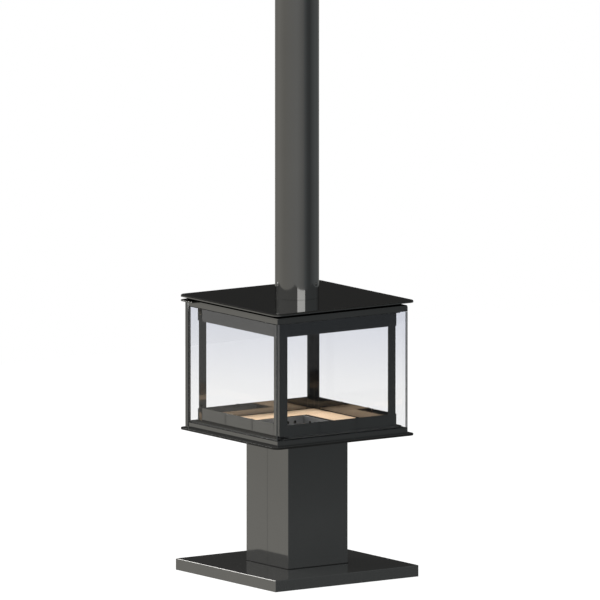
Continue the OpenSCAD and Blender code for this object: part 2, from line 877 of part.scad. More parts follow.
pane(RIGHT, -band_half, pane_lap, z_window, z_upper_band - pane_top_clear);  // glass_right
pane(BACK, -band_half, pane_lap, z_window, z_upper_band - pane_top_clear);  // glass_back
pane(LEFT, -band_half, hinge_side, z_window, z_upper_band - pane_top_clear);  // glass_left
hinge_rod();
hinge_pins();
rail_clips();
door_clips();
pane_seals();
door_seals();
bar(FRONT, -hinge_side, band_half, z_upper_band, upper_band_h);  // upper_bar_front
bar(RIGHT, -rail_face, band_half, z_upper_band, upper_band_h);  // upper_bar_right
bar(BACK, -rail_face, band_half, z_upper_band, upper_band_h);  // upper_bar_back
left_bar(z_upper_band, upper_band_h);  // upper_bar_left
roof_plate();
magnet_catch();
baffle_plate();
baffle_hangers();
top_spacers();
roof_screws();
top_plate();
flue_collar();
flue_pipe();
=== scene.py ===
import math

import bmesh
import bpy
from mathutils import Matrix, Vector


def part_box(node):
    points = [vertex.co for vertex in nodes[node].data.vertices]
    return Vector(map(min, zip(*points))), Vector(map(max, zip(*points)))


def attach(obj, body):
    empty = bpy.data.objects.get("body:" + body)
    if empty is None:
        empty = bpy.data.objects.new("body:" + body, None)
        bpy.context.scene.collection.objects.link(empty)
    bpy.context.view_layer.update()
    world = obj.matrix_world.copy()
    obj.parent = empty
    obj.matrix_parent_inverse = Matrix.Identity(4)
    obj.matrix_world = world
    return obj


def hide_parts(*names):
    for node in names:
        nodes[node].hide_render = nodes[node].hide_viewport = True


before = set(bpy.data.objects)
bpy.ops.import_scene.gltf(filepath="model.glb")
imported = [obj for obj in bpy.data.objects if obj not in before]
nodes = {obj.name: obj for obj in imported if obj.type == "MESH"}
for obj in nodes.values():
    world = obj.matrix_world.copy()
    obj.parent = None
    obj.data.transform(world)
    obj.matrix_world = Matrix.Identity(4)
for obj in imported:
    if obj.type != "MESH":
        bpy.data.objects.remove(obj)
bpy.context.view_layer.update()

scene = bpy.context.scene


# ---------------------------------------------------------------- Studio
# A pale floor under a long lens, with one low soft light at the front right and
# three high ones round the back and sides. The surround is bright below the
# horizon at the left and dim at the right, which shapes the lacquer.

VIEW_AZIMUTH = math.radians(55)
VIEW_ELEVATION = math.radians(8.6)
VIEW_CENTRE = Vector((0.0059, 0.0084, 0.9574))
LENS_MM = 1700
CAMERA_DISTANCE = 98.1
FLOOR_SIZE = 9.0
FLOOR_BASE = (0.1, 0.1, 0.1, 1)
FLOOR_GLOW = 0.97

toward_camera = Vector((
    math.sin(VIEW_AZIMUTH) * math.cos(VIEW_ELEVATION),
    -math.cos(VIEW_AZIMUTH) * math.cos(VIEW_ELEVATION),
    math.sin(VIEW_ELEVATION),
))
camera_data = bpy.data.cameras.new("studio_camera")
camera_data.lens = LENS_MM
camera_data.clip_start = 10
camera_data.clip_end = 400
camera = bpy.data.objects.new("studio_camera", camera_data)
camera.location = VIEW_CENTRE + toward_camera * CAMERA_DISTANCE
camera.rotation_mode = "QUATERNION"
camera.rotation_quaternion = (-toward_camera).to_track_quat("-Z", "Y")
scene.collection.objects.link(camera)
scene.camera = camera
scene.view_settings.view_transform = "Standard"


def studio_direction(azimuth_deg, elevation_deg):
    """Direction seen from the stove; azimuth 0 is toward the camera, positive to its right."""
    azimuth = math.radians(azimuth_deg) + VIEW_AZIMUTH - math.pi / 2
    elevation = math.radians(elevation_deg)
    level = math.cos(elevation)
    return Vector((level * math.cos(azimuth), level * math.sin(azimuth), math.sin(elevation)))


def softbox(name, azimuth_deg, elevation_deg, distance, width, height, watts, tint, target):
    """A soft rectangular lamp that looks at the target from a studio direction."""
    data = bpy.data.lights.new(name, "AREA")
    data.shape = "RECTANGLE"
    data.size = width
    data.size_y = height
    data.energy = watts
    data.color = tint
    lamp = bpy.data.objects.new(name, data)
    away = studio_direction(azimuth_deg, elevation_deg)
    lamp.location = Vector(target) + away * distance
    lamp.rotation_mode = "QUATERNION"
    lamp.rotation_quaternion = (-away).to_track_quat("-Z", "Y")
    lamp.visible_camera = False
    scene.collection.objects.link(lamp)
    return lamp


softbox("softbox_front_right", 22, 10, 4.0, 2.9, 1.3, 30, (1.0, 0.99, 0.97), (0, 0, 0.97))
softbox("softbox_high_back_left", -134, 38, 4.5, 3.2, 2.6, 250, (1.0, 0.98, 0.95), (0, 0, 0.5))
softbox("softbox_high_left", -60, 50, 4.5, 2.6, 2.6, 160, (1.0, 0.98, 0.95), (0, 0, 0.5))
# the fill lightens the shade at the right but leaves no mirror image
fill = softbox("softbox_high_right", 75, 55, 4.5, 2.4, 2.4, 90, (0.95, 0.98, 1.0), (0, 0, 0.5))
fill.visible_glossy = False


def feed(join, socket, value):
    """Joins another node's output to the socket, or sets a plain number or colour."""
    if isinstance(value, bpy.types.NodeSocket):
        join(value, socket)
    else:
        socket.default_value = value


def maths(add, join, operation, *values):
    """What one arithmetic node makes of the values."""
    node = add("ShaderNodeMath")
    node.operation = operation
    for socket, value in zip(node.inputs, values):
        feed(join, socket, value)
    return node.outputs[0]


def blend_colours(add, join, share, first, second):
    """A colour between first and second, by share."""
    mix = add("ShaderNodeMix")
    mix.data_type = "RGBA"
    for key, value in (("Factor", share), ("A", first), ("B", second)):
        feed(join, mix.inputs[key], value)
    return mix.outputs["Result"]


def axes_of(add, join, space):
    """X, Y and Z of a texture coordinate: the piece's own, or the surround's."""
    where = add("ShaderNodeTexCoord")
    split = add("ShaderNodeSeparateXYZ")
    join(where.outputs[space], split.inputs[0])
    return split.outputs


def surround():
    """What the lacquer and glass mirror: a ring of tones below the horizon and one above."""
    world = bpy.data.worlds.new("studio_surround")
    world.use_nodes = True
    scene.world = world
    tree = world.node_tree
    tree.nodes.clear()
    add = tree.nodes.new
    join = tree.links.new

    axes = axes_of(add, join, "Generated")
    turn = maths(add, join, "ARCTAN2", axes["Y"], axes["X"])
    # full turns from directly behind the stove, as the camera sees it
    behind = 0.5 + 0.25 - VIEW_AZIMUTH / math.tau
    turns = maths(add, join, "MULTIPLY_ADD", turn, 1 / math.tau, behind)
    wrapped = maths(add, join, "FRACT", turns)

    # each stop is a share of the turn, a brightness and a tint
    warm, neutral, cool = (1.0, 0.975, 0.9), (1.0, 1.0, 0.97), (0.93, 0.99, 1.0)

    def ring(stops):
        ramp = add("ShaderNodeValToRGB")
        while len(ramp.color_ramp.elements) < len(stops):
            ramp.color_ramp.elements.new(0.5)
        for element, (place, level, tint) in zip(ramp.color_ramp.elements, stops):
            element.position = place
            element.color = (level * tint[0], level * tint[1], level * tint[2], 1)
        join(wrapped, ramp.inputs[0])
        return ramp.outputs[0]

    below = ring((
        (0.0, 0.30, warm), (0.10, 0.37, warm), (0.19, 0.59, warm), (0.31, 0.50, warm),
        (0.50, 0.49, neutral), (0.545, 0.44, neutral), (0.59, 0.36, neutral), (0.62, 0.26, cool),
        (0.655, 0.17, cool), (0.695, 0.14, cool), (0.745, 0.22, cool), (0.81, 0.28, cool),
        (0.87, 0.23, cool), (1.0, 0.30, warm),
    ))
    above = ring((
        (0.0, 0.034, neutral), (0.08, 0.04, neutral), (0.16, 0.30, neutral), (0.22, 0.42, neutral),
        (0.50, 0.40, neutral), (0.62, 0.28, cool), (0.82, 0.24, cool), (0.92, 0.05, neutral),
        (1.0, 0.034, neutral),
    ))

    horizon = add("ShaderNodeMapRange")
    horizon.interpolation_type = "SMOOTHSTEP"
    horizon.inputs["From Min"].default_value = -0.04
    horizon.inputs["From Max"].default_value = 0.05
    join(axes["Z"], horizon.inputs["Value"])
    shaped = blend_colours(add, join, horizon.outputs[0], below, above)

    # the camera itself sees plain white behind the stove
    rays = add("ShaderNodeLightPath")
    light = add("ShaderNodeBackground")
    seen = blend_colours(add, join, rays.outputs["Is Camera Ray"], shaped, (1, 1, 1, 1))
    join(seen, light.inputs["Color"])
    out = add("ShaderNodeOutputWorld")
    join(light.outputs[0], out.inputs[0])


surround()


def pale_floor():
    """A floor that glows white, so that shade barely shows, and that no lacquer mirrors."""
    half = FLOOR_SIZE / 2
    corners = [(-half, -half, 0), (half, -half, 0), (half, half, 0), (-half, half, 0)]
    mesh = bpy.data.meshes.new("studio_floor")
    mesh.from_pydata(corners, [], [(0, 1, 2, 3)])
    floor = bpy.data.objects.new("studio_floor", mesh)
    scene.collection.objects.link(floor)
    finish = bpy.data.materials.new("studio_floor_white")
    finish.use_nodes = True
    surface = finish.node_tree.nodes["Principled BSDF"]
    surface.inputs["Base Color"].default_value = FLOOR_BASE
    surface.inputs["Roughness"].default_value = 0.9
    surface.inputs["Specular IOR Level"].default_value = 0.0
    surface.inputs["Emission Color"].default_value = (1, 1, 1, 1)
    surface.inputs["Emission Strength"].default_value = FLOOR_GLOW
    mesh.materials.append(finish)
    floor.visible_glossy = False


pale_floor()


# ---------------------------------------------------------------- Plinth
# A tray folded from 3 mm sheet, lacquered dark grey, over a bare steel base
# plate that is screwed to the floor. Four round spacers on the base plate
# carry the tray's top. Folded edges keep a bend radius, cut edges are broken.

FOLD_RADIUS = 0.0018
CUT_EDGE = 0.0004
PLATE_EDGE = 0.0006
SPACER_EDGE = 0.0008
SHARP = math.radians(30)
LACQUER_DEEP = (0.19, 0.19, 0.188, 1)
LACQUER_LIGHT = (0.212, 0.212, 0.209, 1)
FLOOR_LIGHT_BELOW = 0.20
FLOOR_LIGHT_ABOVE = 0.46
FLOOR_LIT_METALLIC = 0.93
TOUCHING = 1e-4


def merged_copy(node):
    """The CAD node's triangles as one clean mesh with flat faces joined up."""
    mesh = bmesh.new()
    mesh.from_mesh(nodes[node].data)
    bmesh.ops.remove_doubles(mesh, verts=mesh.verts, dist=2e-6)
    bmesh.ops.dissolve_limit(mesh, angle_limit=math.radians(0.4), verts=mesh.verts, edges=mesh.edges)
    return mesh


def settled(piece):
    """Bakes the piece's modifiers into its mesh and takes them off."""
    graph = bpy.context.evaluated_depsgraph_get()
    mesh = bpy.data.meshes.new_from_object(piece.evaluated_get(graph))
    piece.modifiers.clear()
    piece.data = mesh


def new_piece(name, mesh, finish):
    """A mesh object from a bmesh, smooth shaded, with one or more materials."""
    data = bpy.data.meshes.new(name)
    mesh.to_mesh(data)
    mesh.free()
    data.polygons.foreach_set("use_smooth", [True] * len(data.polygons))
    piece = bpy.data.objects.new(name, data)
    scene.collection.objects.link(piece)
    for each in finish if isinstance(finish, tuple) else (finish,):
        data.materials.append(each)
    return piece


def rounded(piece, edge, wide=0.0, is_wide=None, segments=3):
    """Bevels every sharp edge by edge, and those that is_wide picks by wide."""
    widest = max(edge, wide)
    mesh = bmesh.new()
    mesh.from_mesh(piece.data)
    weight = mesh.edges.layers.float.new("bevel_weight_edge")
    for line in mesh.edges:
        if len(line.link_faces) == 2 and line.calc_face_angle(0) > SHARP:
            ends = [v.co for v in line.verts]
            line[weight] = 1.0 if is_wide and is_wide(*ends) else edge / widest
    mesh.to_mesh(piece.data)
    mesh.free()
    bevel = piece.modifiers.new("edges", "BEVEL")
    bevel.limit_method = "WEIGHT"
    bevel.width = widest
    bevel.segments = segments
    even = piece.modifiers.new("flat_faces", "WEIGHTED_NORMAL")
    even.weight = 100
    settled(piece)


def dressed(node, body, finish, edge=CUT_EDGE, wide=0.0, is_wide=None, segments=3):
    """A finished copy of a CAD node that stands for it on the same body."""
    piece = new_piece(node + "_finished", merged_copy(node), finish)
    rounded(piece, edge, wide, is_wide, segments)
    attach(piece, body)
    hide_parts(node)
    return piece


def blank_material(name):
    """A material with its Principled surface, and short ways to add nodes and links."""
    finish = bpy.data.materials.new(name)
    finish.use_nodes = True
    tree = finish.node_tree
    return finish, tree.nodes.new, tree.links.new, tree.nodes["Principled BSDF"]


def noise(add, join, scale, detail=2.0, roughness=0.5, stretch=None):
    """Noise in the piece's own coordinates, in features per metre."""
    where = add("ShaderNodeTexCoord")
    texture = add("ShaderNodeTexNoise")
    texture.inputs["Scale"].default_value = scale
    texture.inputs["Detail"].default_value = detail
    texture.inputs["Roughness"].default_value = roughness
    if stretch:
        mapping = add("ShaderNodeMapping")
        mapping.inputs["Scale"].default_value = stretch
        join(where.outputs["Object"], mapping.inputs["Vector"])
        join(mapping.outputs["Vector"], texture.inputs["Vector"])
    else:
        join(where.outputs["Object"], texture.inputs["Vector"])
    return texture.outputs["Fac"]


def mottled(add, join, surface, share, first, second):
    """Gives the surface a base colour that drifts between two tones."""
    join(blend_colours(add, join, share, first, second), surface.inputs["Base Color"])


def spread(add, join, value, low, high, to_low, to_high):
    """Maps a value from low..high to to_low..to_high, and clamps it."""
    remap = add("ShaderNodeMapRange")
    for key, number in zip(("From Min", "From Max", "To Min", "To Max"), (low, high, to_low, to_high)):
        remap.inputs[key].default_value = number
    join(value, remap.inputs["Value"])
    return remap.outputs[0]


def gloss(surface, roughness, specular):
    """One roughness and one mirror strength all over."""
    surface.inputs["Roughness"].default_value = roughness
    surface.inputs["Specular IOR Level"].default_value = specular


def relief(add, join, surface, height, distance, strength):
    """Fine bumps on top of the modelled shape."""
    bump = add("ShaderNodeBump")
    bump.inputs["Distance"].default_value = distance
    bump.inputs["Strength"].default_value = strength
    join(height, bump.inputs["Height"])
    join(bump.outputs["Normal"], surface.inputs["Normal"])


def lacquer_material(name):
    """Satin metallic lacquer with a faint orange peel and wiped patches."""
    finish, add, join, surface = blank_material(name)
    mottled(add, join, surface, noise(add, join, 6, 4), LACQUER_DEEP, LACQUER_LIGHT)
    surface.inputs["Metallic"].default_value = 1.0
    wiped = noise(add, join, 14, 5, 0.6)
    join(spread(add, join, wiped, 0.3, 0.7, 0.045, 0.085), surface.inputs["Roughness"])
    orange_peel = noise(add, join, 420, 2)
    relief(add, join, surface, orange_peel, 0.00005, 0.03)
    return finish


def bare_steel_material():
    """Rolled steel with patches of blue-grey mill scale."""
    finish, add, join, surface = blank_material("bare_rolled_steel")
    scale_patches = spread(add, join, noise(add, join, 18, 6, 0.65), 0.35, 0.65, 0, 1)
    mottled(add, join, surface, scale_patches, (0.15, 0.155, 0.17, 1), (0.34, 0.33, 0.32, 1))
    surface.inputs["Metallic"].default_value = 1.0
    rolled = noise(add, join, 90, 4, 0.6, (1, 1, 14))
    join(spread(add, join, rolled, 0.3, 0.7, 0.30, 0.52), surface.inputs["Roughness"])
    relief(add, join, surface, rolled, 0.0003, 0.08)
    return finish


def lacquer_with_painted_floor_light_material():
    """The same lacquer with painted light: less metallic toward the floor, so that it takes up the floor's
    glow there and stays darker higher up.
    """
    finish = lacquer_material("dark_grey_lacquer_near_floor")
    tree = finish.node_tree
    add, join = tree.nodes.new, tree.links.new
    height = axes_of(add, join, "Object")["Z"]
    # painted light: the metallic share rises with height above the floor
    clean = spread(add, join, height, FLOOR_LIGHT_BELOW, FLOOR_LIGHT_ABOVE, FLOOR_LIT_METALLIC, 1.0)
    join(clean, tree.nodes["Principled BSDF"].inputs["Metallic"])
    return finish


lacquer = lacquer_material("dark_grey_lacquer")
lacquer_with_painted_floor_light = lacquer_with_painted_floor_light_material()
bare_steel = bare_steel_material()

cover_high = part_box("plinth_cover")[1]


def on_plinth_fold(a, b):
    """Outer folds: the top's rim and the four upright corners."""
    at_rim = min(a.z, b.z) > cover_high.z - TOUCHING
    at_side = all(max(abs(v.x), abs(v.y)) > cover_high.x - TOUCHING for v in (a, b))
    upright = abs(a.z - b.z) > cover_high.z / 2
    return at_side and (at_rim or upright)


dressed("plinth_cover", "stove", lacquer_with_painted_floor_light, CUT_EDGE, FOLD_RADIUS, on_plinth_fold)
dressed("base_plate", "stove", bare_steel, PLATE_EDGE)
dressed("plinth_spacers", "stove", bare_steel, SPACER_EDGE)


# ---------------------------------------------------------------- Support tube
# A square steel tube with a foot flange bolted to the base plate and a top
# flange under the air box. Two thick rings on it space the column shells off.

TUBE_EDGE = 0.001
FOOT_BOLT_ACROSS = 0.0147
FOOT_BOLT_HEAD = 0.0064
FOOT_BOLT_SHANK = 0.005
FOOT_BOLT_CROWN = 0.0009


def zinc_material():
    finish, add, join, surface = blank_material("bright_zinc")
    tarnish = noise(add, join, 60, 4)
    mottled(add, join, surface, tarnish, (0.46, 0.47, 0.48, 1), (0.66, 0.65, 0.6, 1))
    surface.inputs["Metallic"].default_value = 1.0
    join(spread(add, join, tarnish, 0.3, 0.7, 0.22, 0.36), surface.inputs["Roughness"])
    relief(add, join, surface, noise(add, join, 900, 2), 0.0001, 0.05)
    return finish


zinc = zinc_material()
dressed("support_tube", "stove", bare_steel, TUBE_EDGE)
dressed("shell_rings", "stove", bare_steel, PLATE_EDGE)


def lathe(outline, centre, steps=48):
    """A closed turned solid: outline is (radius, height) points round the axis at centre."""
    on_axis = 1e-7
    mesh = bmesh.new()
    rings = []
    for radius, height in outline:
        if radius < on_axis:
            rings.append([mesh.verts.new((centre[0], centre[1], height))] * steps)
        else:
            rings.append([
                mesh.verts.new((
                    centre[0] + radius * math.cos(math.tau * i / steps),
                    centre[1] + radius * math.sin(math.tau * i / steps),
                    height,
                ))
                for i in range(steps)
            ])
    closed = outline[0][0] > on_axis
    pairs = list(zip(rings, rings[1:])) + ([(rings[-1], rings[0])] if closed else [])
    for lower, upper in pairs:
        for i in range(steps):
            corners = [lower[i], lower[(i + 1) % steps], upper[(i + 1) % steps], upper[i]]
            unique = list(dict.fromkeys(corners))
            if len(unique) > 2:
                mesh.faces.new(unique)
    bmesh.ops.recalc_face_normals(mesh, faces=mesh.faces)
    return mesh


def arc(centre_r, centre_z, radius, start_deg, end_deg, steps=5):
    """Outline points on an arc, for rounded lips and crowns."""
    turn = math.radians(end_deg - start_deg) / steps
    first = math.radians(start_deg)
    return [
        (centre_r + radius * math.cos(first + i * turn), centre_z + radius * math.sin(first + i * turn))
        for i in range(steps + 1)
    ]


def hex_prism(across, low, high, crown):
    """A hexagon head with a chamfered top, between two heights."""
    mesh = bmesh.new()
    corner = across / math.sqrt(3)
    levels = [(corner, low), (corner, high - crown), (corner - 1.6 * crown, high)]
    rings = []
    for radius, height in levels:
        rings.append([
            mesh.verts.new((radius * math.cos(i * math.pi / 3), radius * math.sin(i * math.pi / 3), height))
            for i in range(6)
        ])
    for lower, upper in zip(rings, rings[1:]):
        for i in range(6):
            mesh.faces.new((lower[i], lower[(i + 1) % 6], upper[(i + 1) % 6], upper[i]))
    mesh.faces.new(rings[-1])
    mesh.faces.new(rings[0][::-1])
    return mesh


def place_copies_tree():
    """Geometry Nodes: one copy of a master at every point, turned by a seeded random angle."""
    tree = bpy.data.node_groups.new("copies_at_points", "GeometryNodeTree")
    inputs = (("Points", "Geometry"), ("Master", "Object"), ("Turn", "Float"), ("Finish", "Material"))
    for title, kind in inputs:
        tree.interface.new_socket(title, in_out="INPUT", socket_type="NodeSocket" + kind)
    tree.interface.new_socket("Pieces", in_out="OUTPUT", socket_type="NodeSocketGeometry")
    add, join = tree.nodes.new, tree.links.new
    given, result = add("NodeGroupInput"), add("NodeGroupOutput")
    master = add("GeometryNodeObjectInfo")
    angle = add("FunctionNodeRandomValue")
    angle.data_type = "FLOAT"
    angle.inputs["Seed"].default_value = 7
    turn = add("ShaderNodeCombineXYZ")
    stand = add("GeometryNodeInstanceOnPoints")
    whole = add("GeometryNodeRealizeInstances")
    paint = add("GeometryNodeSetMaterial")
    aim = add("FunctionNodeAlignRotationToVector")
    aim.axis = "Z"
    facing = add("GeometryNodeInputNamedAttribute")
    facing.data_type = "FLOAT_VECTOR"
    facing.inputs["Name"].default_value = "facing"
    spin = add("FunctionNodeRotateRotation")
    spin.rotation_space = "LOCAL"
    join(given.outputs["Master"], master.inputs["Object"])
    join(given.outputs["Turn"], angle.inputs["Max"])
    join(angle.outputs["Value"], turn.inputs["Z"])
    join(facing.outputs["Attribute"], aim.inputs["Vector"])
    join(aim.outputs["Rotation"], spin.inputs["Rotation"])
    join(turn.outputs["Vector"], spin.inputs["Rotate By"])
    join(given.outputs["Points"], stand.inputs["Points"])
    join(master.outputs["Geometry"], stand.inputs["Instance"])
    join(spin.outputs["Rotation"], stand.inputs["Rotation"])
    join(stand.outputs["Instances"], whole.inputs["Geometry"])
    join(whole.outputs["Geometry"], paint.inputs["Geometry"])
    join(given.outputs["Finish"], paint.inputs["Material"])
    join(paint.outputs["Geometry"], result.inputs["Pieces"])
    return tree


copies_tree = place_copies_tree()


def grow(piece, tree, values):
    """Runs a tree on the piece with inputs given by name, and keeps the plain mesh."""
    modifier = piece.modifiers.new("grown", "NODES")
    modifier.node_group = tree
    for item in tree.interface.items_tree:
        if item.in_out == "INPUT" and item.name in values:
            modifier[item.identifier] = values[item.name]
    settled(piece)


def copies(name, master_mesh, places, finish, turn=0.0):
    """Copies of a small part at places, each a point and the way its Z axis looks."""
    master = new_piece(name + "_master", master_mesh, finish)
    data = bpy.data.meshes.new(name)
    data.from_pydata([point for point, _ in places], [], [])
    facing = data.attributes.new("facing", "FLOAT_VECTOR", "POINT")
    facing.data.foreach_set("vector", [n for _, way in places for n in way])
    piece = bpy.data.objects.new(name, data)
    scene.collection.objects.link(piece)
    grow(piece, copies_tree, {"Master": master, "Turn": turn, "Finish": finish})
    bpy.data.objects.remove(master)
    return piece


def rides(piece, body, slot, *stands_for):
    """Attaches the piece to its body and hides the CAD nodes that it stands for."""
    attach(piece, body)
    if stands_for:
        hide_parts(*stands_for)


def four_corners(distance, height):
    return [Vector((sx * distance, sy * distance, height)) for sx in (-1, 1) for sy in (-1, 1)]


def smooth_by_angle(piece, degrees=35):
    """Keeps edges sharper than degrees crisp and shades the rest smooth."""
    piece.data.set_sharp_from_angle(angle=math.radians(degrees))
    return piece


def bolt_mesh(head_across, head_height, shank_radius, shank_length, crown):
    """A hexagon bolt with its head's seat at the origin and its shank below."""
    end_chamfer = 0.0006
    outline = [(0, -shank_length), (shank_radius - end_chamfer, -shank_length)]
    outline += [(shank_radius, end_chamfer - shank_length), (shank_radius, 0), (0, 0)]
    bolt = hex_prism(head_across, 0, head_height, crown)
    shank = lathe(outline, (0, 0), 24)
    data = bpy.data.meshes.new("shank")
    shank.to_mesh(data)
    shank.free()
    bolt.from_mesh(data)
    return bolt


bolts_low, bolts_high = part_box("foot_bolts")
foot_bolt_seat = bolts_high.z - FOOT_BOLT_HEAD
foot_bolt_at = bolts_high.y - FOOT_BOLT_ACROSS / 2
foot_bolts = copies(
    "foot_bolts_zinc",
    bolt_mesh(FOOT_BOLT_ACROSS, FOOT_BOLT_HEAD, FOOT_BOLT_SHANK,
              foot_bolt_seat - bolts_low.z, FOOT_BOLT_CROWN),
    [(point, (0, 0, 1)) for point in four_corners(foot_bolt_at, foot_bolt_seat)],
    zinc, turn=1.0)
rides(smooth_by_angle(foot_bolts), "stove", "zinc_plate", "foot_bolts")


# ---------------------------------------------------------------- Column shells
# Two half shells folded from 2.5 mm sheet and lacquered. They meet at a fine
# seam in the middle of the front and back and are screwed to the rings at the
# back with button-head screws.

SHELL_BEND = 0.0022
BEAD_RADIUS = 0.0022
BEAD_STEPS = 6
BUTTON_RADIUS = 0.00475
BUTTON_HEIGHT = 0.0028
BUTTON_DOME = 0.0062
BUTTON_SHANK = 0.0025
BUTTON_LENGTH = 0.02
column_low, column_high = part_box("column_shell_right")
column_half = column_high.x


def on_shell_bend(a, b):
    """The upright corners and seam edges, where the sheet is folded."""
    upright = abs(a.z - b.z) > 0.1
    on_face = all(abs(abs(v.y) - column_half) < TOUCHING for v in (a, b))
    at_bend = all(abs(abs(v.x) - column_half) < TOUCHING or abs(v.x) < 0.001 for v in (a, b))
    return upright and on_face and at_bend


for node in ("column_shell_left", "column_shell_right"):
    dressed(node, "stove", lacquer_with_painted_floor_light, CUT_EDGE, SHELL_BEND, on_shell_bend)


def foot_bead():
    """A thin black bead along the joint between the column and the plinth, painted shade for the shadow gap
    there.
    """
    mesh = bmesh.new()
    rings = []
    for sx, sy in ((1, 1), (-1, 1), (-1, -1), (1, -1)):
        corner = Vector((sx * column_half, sy * column_half, column_low.z))
        outward = Vector((sx, sy, 0))
        ring = [mesh.verts.new(corner)]
        for step in range(BEAD_STEPS + 1):
            turn = math.radians(90 * step / BEAD_STEPS)
            up = Vector((0, 0, BEAD_RADIUS * math.sin(turn)))
            ring.append(mesh.verts.new(corner + outward * BEAD_RADIUS * math.cos(turn) + up))
        rings.append(ring)
    for first, second in zip(rings, rings[1:] + rings[:1]):
        for i in range(len(first)):
            after = (i + 1) % len(first)
            mesh.faces.new((first[i], second[i], second[after], first[after]))
    bmesh.ops.recalc_face_normals(mesh, faces=mesh.faces)
    return mesh


# matt black painted shade for the bead at the column's foot
def joint_shade_material():
    finish, add, join, surface = blank_material("painted_joint_shade")
    mottled(add, join, surface, noise(add, join, 200, 3), (0.008, 0.008, 0.008, 1), (0.02, 0.02, 0.02, 1))
    gloss(surface, 0.9, 0.05)
    relief(add, join, surface, noise(add, join, 500, 2), 0.0002, 0.2)
    return finish


column_bead = new_piece("column_foot_bead", foot_bead(), joint_shade_material())
rides(smooth_by_angle(column_bead, 40), "stove", "seal_tape")


def button_screw():
    """A button-head screw with a round socket, its seat at the origin and its shank below."""
    socket = 0.0017
    lip = 0.0003
    dome = arc(0, BUTTON_HEIGHT - BUTTON_DOME, BUTTON_DOME, 50, 68, 4)
    outline = [(0, -BUTTON_LENGTH), (BUTTON_SHANK, -BUTTON_LENGTH), (BUTTON_SHANK, 0)]
    outline += [(BUTTON_RADIUS, 0), (BUTTON_RADIUS, 0.0008)]
    outline += [(r, z) for r, z in dome if r < BUTTON_RADIUS - 0.0002]
    outline += [(socket + lip, BUTTON_HEIGHT), (socket, BUTTON_HEIGHT - lip), (socket, 0.0011), (0, 0.0009)]
    return lathe(outline, (0, 0), 30)


screws_low, screws_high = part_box("shell_screws")
screw_x = screws_high.x - BUTTON_RADIUS
screw_heights = (screws_low.z + BUTTON_RADIUS, screws_high.z - BUTTON_RADIUS)
shell_screws = copies(
    "shell_screws_zinc", button_screw(),
    [((sx * screw_x, column_half, z), (0, 1, 0)) for sx in (-1, 1) for z in screw_heights],
    zinc, turn=1.0)
rides(smooth_by_angle(shell_screws), "stove", "zinc_plate", "shell_screws")


# ---------------------------------------------------------------- Air control
# A welded steel box under the hearth with two slots in its floor. A zinc-plated
# slide with matching slots is pushed and pulled by a rod that comes out at the
# back of the column and ends in a moulded knob.

SLIDE_EDGE = 0.0003
ROD_EDGE = 0.0005
KNOB_BORE = 0.0041
KNOB_END_WALL = 0.006
FLUTES = 12
FLUTE_DEPTH = 0.025
knob_low, knob_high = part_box("air_knob")


def knob_material():
    finish, add, join, surface = blank_material("moulded_black_knob")
    mottled(add, join, surface, noise(add, join, 120, 3), (0.012, 0.012, 0.013, 1), (0.024, 0.023, 0.022, 1))
    join(spread(add, join, noise(add, join, 60, 3), 0.3, 0.7, 0.22, 0.34), surface.inputs["Roughness"])
    relief(add, join, surface, noise(add, join, 1500, 2), 0.0001, 0.08)
    return finish


dressed("air_box", "stove", bare_steel, PLATE_EDGE)
dressed("air_slide", "air_control", zinc, SLIDE_EDGE)
dressed("air_rod", "air_control", zinc, ROD_EDGE)


def knob_mesh():
    """A waisted knob turned about its rod, with finger flutes round the rim."""
    radius = (knob_high.x - knob_low.x) / 2
    length = knob_high.y - knob_low.y
    roll = radius - 0.0035
    outline = [(KNOB_BORE, 0), (roll - 0.001, 0)]
    outline += arc(roll, 0.0062, 0.0028, -130, 0, 8)
    outline += arc(roll, length - 0.0036, 0.0034, 0, 80, 8)
    outline += [(0, length), (0, length - KNOB_END_WALL), (KNOB_BORE, length - KNOB_END_WALL)]
    steps = 96
    mesh = bmesh.new()
    rings = []
    for r, h in outline:
        ring = []
        for i in range(steps):
            turn = math.tau * i / steps
            flute = FLUTE_DEPTH * max(0.0, math.cos(FLUTES * turn)) if r > 0.8 * radius else 0
            reach = r * (1 - flute)
            ring.append(mesh.verts.new((reach * math.cos(turn), reach * math.sin(turn), h)))
        rings.append(ring)
    for lower, upper in zip(rings, rings[1:] + rings[:1]):
        for i in range(steps):
            mesh.faces.new((lower[i], lower[(i + 1) % steps], upper[(i + 1) % steps], upper[i]))
    bmesh.ops.remove_doubles(mesh, verts=mesh.verts, dist=1e-6)
    bmesh.ops.transform(mesh, matrix=Matrix.Rotation(-math.pi / 2, 4, "X"), verts=mesh.verts)
    middle = Vector(((knob_low.x + knob_high.x) / 2, knob_low.y, (knob_low.z + knob_high.z) / 2))
    bmesh.ops.translate(mesh, vec=middle, verts=mesh.verts)
    bmesh.ops.recalc_face_normals(mesh, faces=mesh.faces)
    return mesh


air_knob = new_piece("air_knob_moulded", knob_mesh(), knob_material())
rides(smooth_by_angle(air_knob, 50), "air_control", "black_knob", "air_knob")


# ---------------------------------------------------------------- Floor plate and lower bars
# A laser-cut plate with round corners, in black enamel, carries the fire chamber.
# The square bars of the lower band stand on it and leave a notch for the hinge
# rod. They are lacquered, but their tops under the glass are matt black as painted shade.

FLOOR_PLATE_EDGE = 0.0005
BAR_EDGE = 0.0003


def black_enamel_material():
    finish, add, join, surface = blank_material("black_heat_proof_enamel")
    cloud = noise(add, join, 11, 5, 0.6)
    mottled(add, join, surface, cloud, (0.006, 0.006, 0.006, 1), (0.014, 0.014, 0.013, 1))
    join(spread(add, join, cloud, 0.3, 0.7, 0.10, 0.18), surface.inputs["Roughness"])
    surface.inputs["Specular IOR Level"].default_value = 0.14
    relief(add, join, surface, noise(add, join, 300, 3), 0.00005, 0.05)
    return finish


